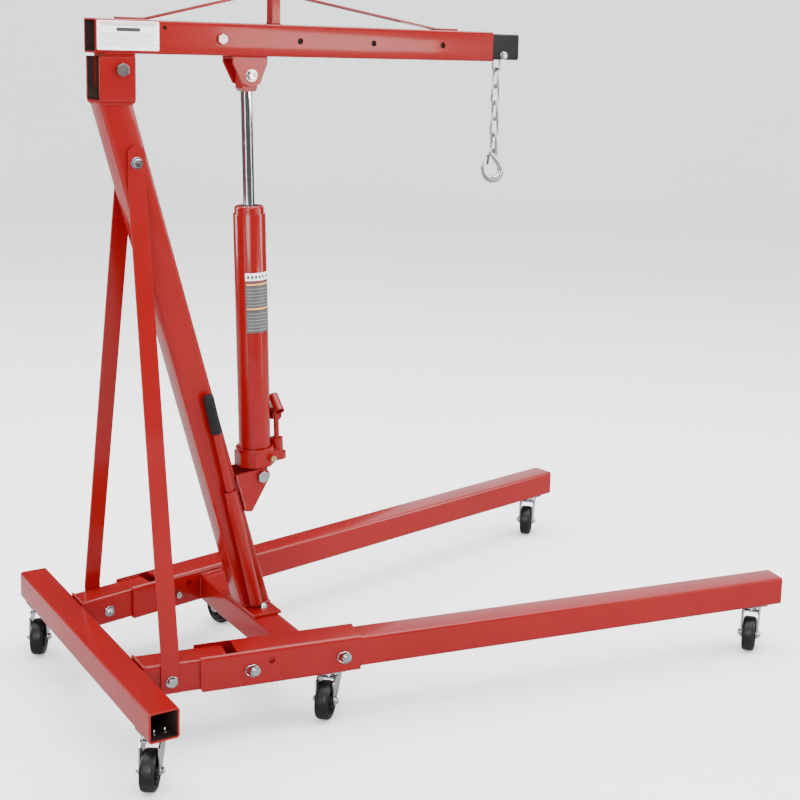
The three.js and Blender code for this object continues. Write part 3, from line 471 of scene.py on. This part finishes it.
def add_base_beads(word, side):
    """Beads round one stub, at one end of the crossmember, and on one socket's roof."""
    across = STUB_HALF / math.cos(SPLAY)
    y = side * leg_y(61)
    top = [(60.8, y - across, 169.6), (60.8, y + across, 169.6)]
    add_bead(f"weld_stub_top_{word}", "frame", top, 3.2)
    for edge in (-1, 1):
        upright = [(61, y + edge * across, 109), (61, y + edge * across, 167)]
        add_bead(f"weld_stub_side_{word}_{edge + 1}", "frame", upright, 2.2)
    for index, x in enumerate((353.6, 414.4)):
        wall_y = side * (leg_y(x, SOCKET_HALF) - 1)
        add_bead(f"weld_cross_{word}_{index}", "frame", [(x, wall_y, 105), (x, wall_y, 160)], 2.4)
    top = [(x, side * (leg_y(x, SOCKET_HALF) - 1), 162) for x in (356, 412)]
    add_bead(f"weld_cross_top_{word}", "frame", top, 2.4)
    roof = [on_leg_point(side, along, side * 31, 32.6) for along in (234, 180)]
    add_bead(f"weld_roof_{word}", "frame", roof, 2.0)
    bracket = [mast_front_point(z, side * 33.2) for z in (386, 468)]
    add_bead(f"weld_bracket_{word}", "frame", bracket, 3.6)


def add_welds():
    for word, side in SIDES.items():
        add_base_beads(word, side)
        for name, body, x_from, x_to, y, z, size in SIDE_BEADS:
            add_bead(name.format(word), body, [(x_from, side * y, z), (x_to, side * y, z)], size)
    for word, x in (("front", 418), ("rear", 353.5)):
        add_bead(f"weld_foot_{word}", "frame", [(x, -31, 169.2), (x, 31, 169.2)], 2.4)
    foot_x, foot_z, slope = 379.6, 170, 0.2338
    for z in (200, 300, 410):
        x = foot_x - slope * (z - foot_z)
        add_bead(f"weld_holder_{z}", "frame", [(x + 13, -33.5, z - 9), (x + 9, -33.5, z + 9)], 2.6)


def add_hitch_clips():
    """A wire ring and a low crown on each leg pin's head."""
    corners = 28
    loop = []
    for corner in range(corners):
        angle = 2 * math.pi * corner / corners
        width = 12 if math.cos(angle) < 0 else 12 * 0.85
        loop.append((14.5 * math.cos(angle) + 6, width * math.sin(angle), 0))
    tilt = Matrix.Rotation(math.radians(-15), 4, "Z") @ Matrix.Rotation(math.radians(12), 4, "X")
    for word, side in SIDES.items():
        for where, along in LEG_PIN_ALONG.items():
            body = f"leg_pin_{where}_{word}"
            ring = on_leg(side, along, 41.5, LEG_PIN_ABOVE, "Y") @ tilt
            clip = tube(loop, 1.3, 10, closed=True)
            put(f"hitch_clip_{where}_{word}", clip, "bright_zinc", body, ring)
            crown = lathe([(0, 0), (7.6, 0), (7.6, 1.6), (6.2, 2.6), (0, 2.6)], 30)
            head = on_leg(side, along, 43.7, LEG_PIN_ABOVE, "Y")
            put(f"pin_crown_{where}_{word}", crown, "bright_zinc", body, head)


# ---------------------------------------------------------------- casters


def wheel_shape():
    """A moulded wheel: a hub, a dished web, a rim, and a tread with rounded shoulders."""
    side = [(5.6, 15.5), (11.5, 15.5), (12.5, 14.8), (13.2, 9.5), (15.0, 8.2), (24, 8.0), (27.5, 8.8),
            (29.5, 12.5), (30.3, 13.8), (31.4, 14.2), (32.2, 13.6), (32.6, 12.9), (33.4, 13.4),
            (35.5, 14.0), (37.6, 13.0), (39.2, 10.8), (39.9, 8.0), (40.0, 4.0)]
    return lathe(side + [(radius, -z) for radius, z in reversed(side)] + [side[0]], 72)


def web_ribs():
    """Radial ribs on both faces of the wheel's web."""
    ribs = []
    for turn in range(8):
        for face in (-1, 1):
            angle = math.radians(45 * turn + 22.5)
            inner = Vector((math.cos(angle) * 13, math.sin(angle) * 13, face * 9.2))
            outer = Vector((math.cos(angle) * 29.5, math.sin(angle) * 29.5, face * 9.6))
            ribs.append(tube([inner, outer], 1.3, 8))
    return merged(*ribs)


def add_caster(name, x, y, heading, mount_z):
    """The wheel, the swivel's race and the axle's ends of one caster. The heading is an angle."""
    swivel = f"swivel_{name}"
    wheel_x = x + CASTER_TRAIL * math.cos(heading)
    wheel_y = y + CASTER_TRAIL * math.sin(heading)
    matrix = place(wheel_x, wheel_y, WHEEL_RADIUS, "Y", heading)
    shape = merged(wheel_shape(), web_ribs())
    wheel = put(f"wheel_{name}", shape, "wheel_polymer", f"wheel_{name}", matrix)
    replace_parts(wheel, f"caster_wheel_{name}")

    rim = [(20.5, -8), (22.6, -6.6), (23.2, -4.6), (22.4, -2.4), (21.2, -1.4), (21.2, -0.9)]
    race = lathe([(0, -8), *rim, (0, -0.9)], 48)
    put(f"race_{name}", race, "bright_zinc", swivel, place(x, y, mount_z - 3.6))
    for word, face in (("head", -1), ("nut", 1)):
        turned = heading if face > 0 else heading + HALF_TURN
        end_x = wheel_x - face * 20.4 * math.sin(heading)
        end_y = wheel_y + face * 20.4 * math.cos(heading)
        stub = lathe([(0, 0), (4.2, 0), (4.2, 5.8), (3.4, 6.8), (0, 6.8)], 24)
        put(f"axle_{word}_{name}", merged(washer(9.8, 1.2), lifted(stub, 0.2)), "bright_zinc", swivel,
            place(end_x, end_y, WHEEL_RADIUS, "Y", turned))


def add_casters():
    add_caster("rear_right", 30, -345, math.radians(-124), 108)
    add_caster("rear_left", 30, 345, math.radians(-119), 108)
    spots = (("middle", 456, 100.5, (-135, 105)), ("front", 1495, 106, (-141, -133)))
    for place_word, along, mount_z, headings in spots:
        for (word, side), heading in zip(SIDES.items(), headings):
            x = along * math.cos(SPLAY)
            y = side * (LEG_ORIGIN_Y + along * math.sin(SPLAY))
            add_caster(f"{place_word}_{word}", x, y, math.radians(heading), mount_z)


# ---------------------------------------------------------------- chain and hook


def link_path():
    """A link's centre line in the X-Z plane: two half circles joined by straight sides."""
    straight = LINK_INSIDE / 2 + LINK_WIRE - LINK_HALF_WIDTH
    points = []
    for end, start in ((1, 0), (-1, 180)):
        for step in range(13):
            angle = math.radians(start + 15 * step)
            z = LINK_HALF_WIDTH * math.sin(angle) + end * straight
            points.append((LINK_HALF_WIDTH * math.cos(angle), 0, z))
    return points


def add_chain():
    for index in range(LINK_COUNT):
        heading = 0 if index % 2 == 0 else math.radians(90)
        spot = place(CHAIN_X, 0, FIRST_LINK_Z - index * LINK_PITCH, "Z", heading)
        ring = tube(link_path(), LINK_WIRE, 14, closed=True)
        link = put(f"link_{index + 1}", ring, "bright_zinc", "chain", spot)
        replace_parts(link, f"chain_link_{index + 1}")


def add_hook():
    """A forged hook: an eye, a neck, a bow that is thickest at its foot, and a tip."""
    chain_end = FIRST_LINK_Z - (LINK_COUNT - 1) * LINK_PITCH - LINK_INSIDE / 2
    eye_z = chain_end - 3.7
    angles = [math.radians(degrees) for degrees in range(0, 360, 12)]
    eye_line = [(8.2 * math.cos(angle), 0, 8.2 * math.sin(angle)) for angle in angles]
    eye = tube(eye_line, 3.9, 14, closed=True)
    guide = [(0, -9), (8, -17), (17, -28), (21, -42), (18, -54), (8, -61), (-7, -61.5), (-19, -54),
             (-26, -43), (-28, -32), (-27.8, -22), (-27.5, -18.5)]
    sizes = [5.6, 6.6, 7.2, 7.8, 8.4, 9.0, 8.6, 7.2, 5.8, 4.6, 3.4, 1.6]
    points, radii = smooth_path(guide, sizes)
    body = tube([(x, 0, z) for x, z in points], radii, 18)
    hook = put("hook_body", merged(eye, body), "bright_zinc", "hook", place(CHAIN_X, 0, eye_z))
    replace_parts(hook, "hook")


def smooth_path(guide, sizes):
    """Points and sizes on a Catmull-Rom curve through a guide of (x, z) points."""
    steps = 5
    padded = [guide[0], *guide, guide[-1]]
    points, radii = [], []
    for i in range(len(guide) - 1):
        a, b, c, d = (Vector(padded[i + k]) for k in range(4))
        for step in range(steps):
            t = step / steps
            bend = (2 * a - 5 * b + 4 * c - d) * t * t + (3 * b - a - 3 * c + d) * t ** 3
            points.append(tuple(0.5 * (2 * b + (c - a) * t + bend)))
            radii.append(sizes[i] + (sizes[i + 1] - sizes[i]) * t)
    return points + [guide[-1]], radii + [sizes[-1]]


# ---------------------------------------------------------------- jack, handle and labels


def sleeve(size, wall, length):
    """A thin square sleeve along Z from 0, open at both ends."""
    outside, inside = size / 2, size / 2 - wall
    shape = bmesh.new()
    rings = []
    for half, z in ((outside, 0), (outside, length), (inside, length), (inside, 0)):
        corners = ((half, half), (-half, half), (-half, -half), (half, -half))
        rings.append([shape.verts.new((x, y, z)) for x, y in corners])
    for ring, following in zip(rings, rings[1:] + rings[:1]):
        for i in range(4):
            shape.faces.new([ring[i], ring[(i + 1) % 4], following[(i + 1) % 4], following[i]])
    return shape


def rectangle(x_from, x_to, y_from, y_to):
    return [(x_from, y_from), (x_to, y_from), (x_to, y_to), (x_from, y_to)]


def add_dark_insides():
    """Near-black sheets inside the open tube ends and inside the mast's head. In the tube ends they stand for
    unpainted steel darkened further as painted shade; on the head's cheeks and floor and round the boom's lug
    they are painted shade only.
    """
    def put_inside(name, shape, body, matrix):
        put(name, shape, "black_paint", body, matrix, look="tube_inside")

    film = 0.3
    along_y = place(30, -399, BASE_AXIS_Z, "Y")
    put_inside("crossbar_inside", sleeve(51.4, 0.4, 798), "frame", along_y)
    put_inside("boom_inside", sleeve(58.4, 0.4, 240), "boom", place(44, 0, BOOM_AXIS_Z, "X"))
    upright = Matrix.Rotation(math.radians(90), 4, "X")
    for word, side in SIDES.items():
        cheek = plate(rectangle(49, 119, 1260.5, 1342.5), film)
        cheek_spot = place(0, side * 34.25 + film / 2, 0) @ upright
        put_inside(f"head_inside_{word}", cheek, "frame", cheek_spot)
        lug = plate(rectangle(62.6, 121.4, 1286, 1343.4), film)
        lug_spot = place(0, side * 25.65 + film / 2, 0) @ upright
        put_inside(f"lug_inside_{word}", lug, "boom", lug_spot)
    head_floor = plate(rectangle(49, 119, -33.6, 33.6), film)
    put_inside("head_inside_floor", head_floor, "frame", place(0, 0, 1259.8))
    lug_roof = plate(rectangle(62.6, 121.4, -25.2, 25.2), film)
    put_inside("lug_inside_roof", lug_roof, "boom", place(0, 0, 1343.5))


def add_ram():
    """A chrome rod with a piston, a red eye block at its top, and a dust seal on the cylinder."""
    rod_top = RAM_LENGTH - 30
    piston = [(0, 300), (21.5, 300), (21.5, 312), (ROD_RADIUS, 312)]
    rod = lathe([*piston, (ROD_RADIUS, rod_top), (0, rod_top)], 64)
    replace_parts(put("ram_rod", rod, "polished_chrome", "ram", in_jack(0, 0, 0)), "ram")

    angles = [math.radians(degrees) for degrees in range(0, 181, 12)]
    outline = [(17 * math.cos(angle), 17 * math.sin(angle)) for angle in angles]
    outline += [(-17, -26), (-ROD_RADIUS, -33), (ROD_RADIUS, -33), (17, -26)]
    block = lifted(plate(outline, 36), -18)
    upright = in_jack(0, 0, RAM_LENGTH) @ Matrix.Rotation(math.radians(90), 4, "X")
    put("ram_eye", block, "red_enamel", "ram", upright, 1.2)
    lip = [(12.3, 581), (15.4, 581), (15.6, 583.4), (14.6, 584.6), (12.6, 584.6), (12.3, 583.8)]
    put("ram_wiper", lathe([*lip, lip[0]], 48), "grip_rubber", "jack", in_jack(0, 0, 0))


def add_cylinder():
    """The cylinder with its rounded gland cap, and the lug and pin that carry the pump's rocker."""
    bore = 22
    rod_bore = ROD_RADIUS + 0.7
    wall = [(bore, 60.3), (CYLINDER_RADIUS - 0.6, 60.3), (CYLINDER_RADIUS, 61), (CYLINDER_RADIUS, 565.4)]
    shoulder = [(33.4, 566.8), (31.4, 567.6), (31, 569)]
    cap = [(31, 577.6), (30.3, 580.4), (28.6, 582.4), (27, 583)]
    gland = [(rod_bore, 583), (rod_bore, 557), (bore, 557)]
    shell = lathe([*wall, *shoulder, *cap, *gland, wall[0]], 96)
    body = put("cylinder_body", shell, "red_enamel", "jack", in_jack(0, 0, 0))
    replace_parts(body, "jack_cylinder")
    lug = lifted(plate(rectangle(26, 41.2, 14, 30), 24), 104)
    put("rocker_lug", lug, "red_enamel", "jack", in_jack(0, 0, 0), 1.5)
    pin = lathe([(0, 0), (5, 0), (5, 24.6), (4.2, 25.5), (0, 25.5)], 32)
    put("rocker_pin", pin, "red_enamel", "jack", in_jack(40, 22, 118, "X"))


def curved_panel(radius, angle_from, angle_to, z_from, z_to, thickness=0.25):
    """A thin film on the cylinder, between two angles in degrees from the jack's +X."""
    steps = max(3, int(abs(angle_to - angle_from) / 4))
    shape = bmesh.new()
    columns = []
    section = rectangle(radius, radius + thickness, z_from, z_to)
    for step in range(steps + 1):
        angle = math.radians(angle_from + (angle_to - angle_from) * step / steps)
        columns.append([shape.verts.new((r * math.cos(angle), r * math.sin(angle), z))
                        for r, z in section])
    for low, high in zip(columns, columns[1:]):
        for j in range(4):
            shape.faces.new([low[j], low[(j + 1) % 4], high[(j + 1) % 4], high[j]])
    shape.faces.new(columns[0])
    shape.faces.new(columns[-1])
    return shape


def add_cylinder_label():
    """Printed film with plain blocks and rules in place of lettering."""
    def film(name, ink, z_from, z_to):
        shape = curved_panel(CYLINDER_RADIUS + 0.1, -134, -28, z_from, z_to)
        finish_piece(name, shape, PRINTS[ink], "jack", in_jack(0, 0, 0))

    def rule(name, ink, angle_from, angle_to, z, height):
        shape = curved_panel(CYLINDER_RADIUS + 0.36, angle_from, angle_to, z, z + height, 0.12)
        finish_piece(name, shape, PRINTS[ink], "jack", in_jack(0, 0, 0))

    film("cylinder_film_top", "white", 428, 444)
    film("cylinder_film", "slate", 316, 425)
    for index in range(7):
        rule(f"cylinder_mark_{index}", "black", -128 + 14 * index, -120 + 14 * index, 432, 7)
    for index, z in enumerate((418, 366)):
        rule(f"cylinder_band_{index}", "orange", -131, -31, z, 3.2)
    for index, z in enumerate((409, 402, 395, 388, 381, 374, 356, 349, 342, 335, 328, 321)):
        rule(f"cylinder_rule_{index}", "ash", -130, -44 + 5 * (index % 3), z, 1.8)


def add_boom_label():
    """A white film on the boom's right side, with plain grey rules and one black bar."""
    def film(name, ink, width, height, corner, x, z, lift):
        sheet = plate(rounded_box(width, height, corner), 0.2)
        matrix = place(x, -33.1 - lift, z) @ Matrix.Rotation(math.radians(90), 4, "X")
        finish_piece(name, sheet, PRINTS[ink], "boom", matrix)

    film("boom_film", "white", 124, 56, 2, 108, 1384.5, 0.0)
    film("boom_film_head", "rose", 112, 8, 0.6, 108, 1406.5, 0.25)
    film("boom_film_bar", "black", 47, 7, 0.6, 108, 1396, 0.25)
    for index, width in enumerate((112, 108, 98, 112, 104, 110, 84)):
        film(f"boom_film_rule_{index}", "grey", width, 1.1, 0.3, 52 + width / 2, 1388.5 - 4 * index, 0.25)


def add_handle_grip():
    """A ribbed rubber sleeve over the handle's upper end."""
    foot_z, top_z = 571, 654
    rib_pitch = 5.0
    length = (top_z - foot_z) / math.cos(HOLDER_LEAN)
    profile = [(9.2, 0), (11.6, 0), (12.2, 1.2), (12.2, 5), (11.2, 6)]
    z = 9.0
    while z < length - 12:
        profile += [(11.2, z), (11.6, z + 1.0), (11.6, z + 2.4), (11.2, z + 3.4)]
        z += rib_pitch
    profile += [(11.2, length - 5), (10.4, length - 1.6), (8.4, length), (0, length)]
    x = 378.5 - (foot_z - 176) * math.tan(HOLDER_LEAN)
    foot = TO_FRAME @ Matrix.Translation((x, -45.8, foot_z))
    matrix = foot @ Matrix.Rotation(-HOLDER_LEAN, 4, "Y")
    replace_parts(put("grip_sleeve", lathe(profile, 40), "grip_rubber", "pump_handle", matrix), "handle_grip")


# ---------------------------------------------------------------- CAD nodes

LOOKS = {"hook_latch": "dark_steel"}
EDGE_MM = {"boom": 0.8, "boom_extension": 0.6, "jack_base": 1.4}
USUAL_EDGE_MM = 0.7


def polish_nodes():
    """Gives every CAD node its material, softened edges and smooth shading."""
    slots = {part["node"]: part["material_slot"] for part in frame["record"]["subparts"]}
    for name, node in NODES.items():
        node.data.materials.clear()
        node.data.materials.append(MATERIALS[LOOKS.get(name, slots[name])])
        if "custom_normal" in node.data.attributes:
            node.data.attributes.remove(node.data.attributes["custom_normal"])
        node.data.shade_smooth()
        weld = node.modifiers.new("weld", "WELD")
        weld.merge_threshold = 0.00002
        flat = node.modifiers.new("flat", "DECIMATE")
        flat.decimate_type = "DISSOLVE"
        flat.angle_limit = math.radians(0.5)
        add_bevel(node, EDGE_MM.get(name, USUAL_EDGE_MM))


# ---------------------------------------------------------------- stage, lights and camera


def add_stage():
    """A round pale floor that curves up into a wall all round the crane. Lengths are metres."""
    flat, bend, wall_top = 8, 3, 9
    angles = [math.radians(degrees) for degrees in range(10, 91, 10)]
    curve = [(flat + bend * math.sin(angle), bend - bend * math.cos(angle)) for angle in angles]
    shape = lathe([(0, 0), (flat, 0), *curve, (flat + bend, wall_top)], 96)
    for face in shape.faces:
        face.smooth = True
    mesh = bpy.data.meshes.new("studio_floor")
    shape.to_mesh(mesh)
    shape.free()
    paper = Surface("studio_paper")
    paper.colour((0.84, 0.84, 0.84), (0.88, 0.88, 0.88), 0.6).roughness(0.7, 0.9, 2)
    paper.shader.inputs["Emission Color"].default_value = (1, 1, 1, 1)
    paper.shader.inputs["Emission Strength"].default_value = 0.1
    mesh.materials.append(paper.material)
    floor = bpy.data.objects.new("studio_floor", mesh)
    floor.visible_glossy = False
    bpy.context.scene.collection.objects.link(floor)


def add_light(name, position, target, size, power, colour=(1, 1, 1)):
    data = bpy.data.lights.new(name, "AREA")
    data.shape = "RECTANGLE"
    data.size, data.size_y = size
    data.energy = power
    data.color = colour
    light = bpy.data.objects.new(name, data)
    light.location = position
    light.rotation_euler = (Vector(target) - Vector(position)).to_track_quat("-Z", "Y").to_euler()
    bpy.context.scene.collection.objects.link(light)


def add_card(name, shape, dark, light):
    """A card that only reflections can see, as the flags and cards of a photographer's studio are."""
    mesh = bpy.data.meshes.new(name)
    shape.to_mesh(mesh)
    shape.free()
    cloth = Surface(f"{name}_cloth").colour((dark,) * 3, (light,) * 3, 2).roughness(0.9, 1.0, 3)
    mesh.materials.append(cloth.material)
    card = bpy.data.objects.new(name, mesh)
    card.visible_camera = False
    card.visible_diffuse = False
    card.visible_shadow = False
    card.visible_transmission = False
    bpy.context.scene.collection.objects.link(card)


def add_cards():
    """A dark curtain round the studio with one gap behind the legs, and a grey card over the floor."""
    radius = 6.0
    curtain = lathe([(radius, 0.15), (radius, 4.6)], 72)
    gap = []
    for face in curtain.faces:
        middle = face.calc_center_median()
        if 28 < math.degrees(math.atan2(middle.y, middle.x)) < 62:
            gap.append(face)
    bmesh.ops.delete(curtain, geom=gap, context="FACES")
    add_card("curtain", curtain, 0.020, 0.035)
    add_card("floor_card", lathe([(0, 0.002), (radius, 0.002)], 72), 0.24, 0.28)


def add_lights():
    add_light("overhead_box", (0.3, 0.2, 4.2), (0, 0, 0.4), (4.5, 4.5), 420)
    add_light("key_box", (-3.6, -4.4, 2.6), (0, 0, 0.7), (2.4, 2.8), 310)
    add_light("boom_box", (2.1, -4.42, 1.3), (-0.2, 0, 1.38), (1.2, 0.5), 34, (1.0, 0.72, 0.66))
    for word, spot in (("left", (-4.88, -2.19, 0.95)), ("right", (3.2, -3.74, 0.95))):
        add_light(f"{word}_strip", spot, (-0.39, 0, 0.95), (0.3, 2.2), 22)
    add_light("side_box", (4.5, -2.6, 2.4), (0.2, 0, 0.6), (1.2, 3.0), 200)
    add_light("rear_box", (-4.0, 3.4, 2.4), (-0.3, 0, 0.7), (1.4, 3.0), 240)
    world = bpy.data.worlds.new("studio_world")
    world.use_nodes = True
    sky = world.node_tree.nodes["Background"]
    sky.inputs["Color"].default_value = (0.93, 0.96, 1.0, 1)
    sky.inputs["Strength"].default_value = 1.7
    bpy.context.scene.world = world


def add_camera():
    data = bpy.data.cameras.new("camera")
    data.lens = 63.994
    data.sensor_width = 36
    data.shift_x = -0.1
    data.shift_y = -0.15
    camera = bpy.data.objects.new("camera", data)
    camera.location = (-1.6337, -2.7263, 1.4012)
    camera.rotation_euler = (1.4024, -0.0319, -0.5895)
    bpy.context.scene.collection.objects.link(camera)
    bpy.context.scene.camera = camera


polish_nodes()
add_fasteners()
add_welds()
add_hitch_clips()
add_casters()
add_chain()
add_hook()
add_dark_insides()
add_ram()
add_cylinder()
add_cylinder_label()
add_boom_label()
add_handle_grip()
add_stage()
add_cards()
add_lights()
add_camera()
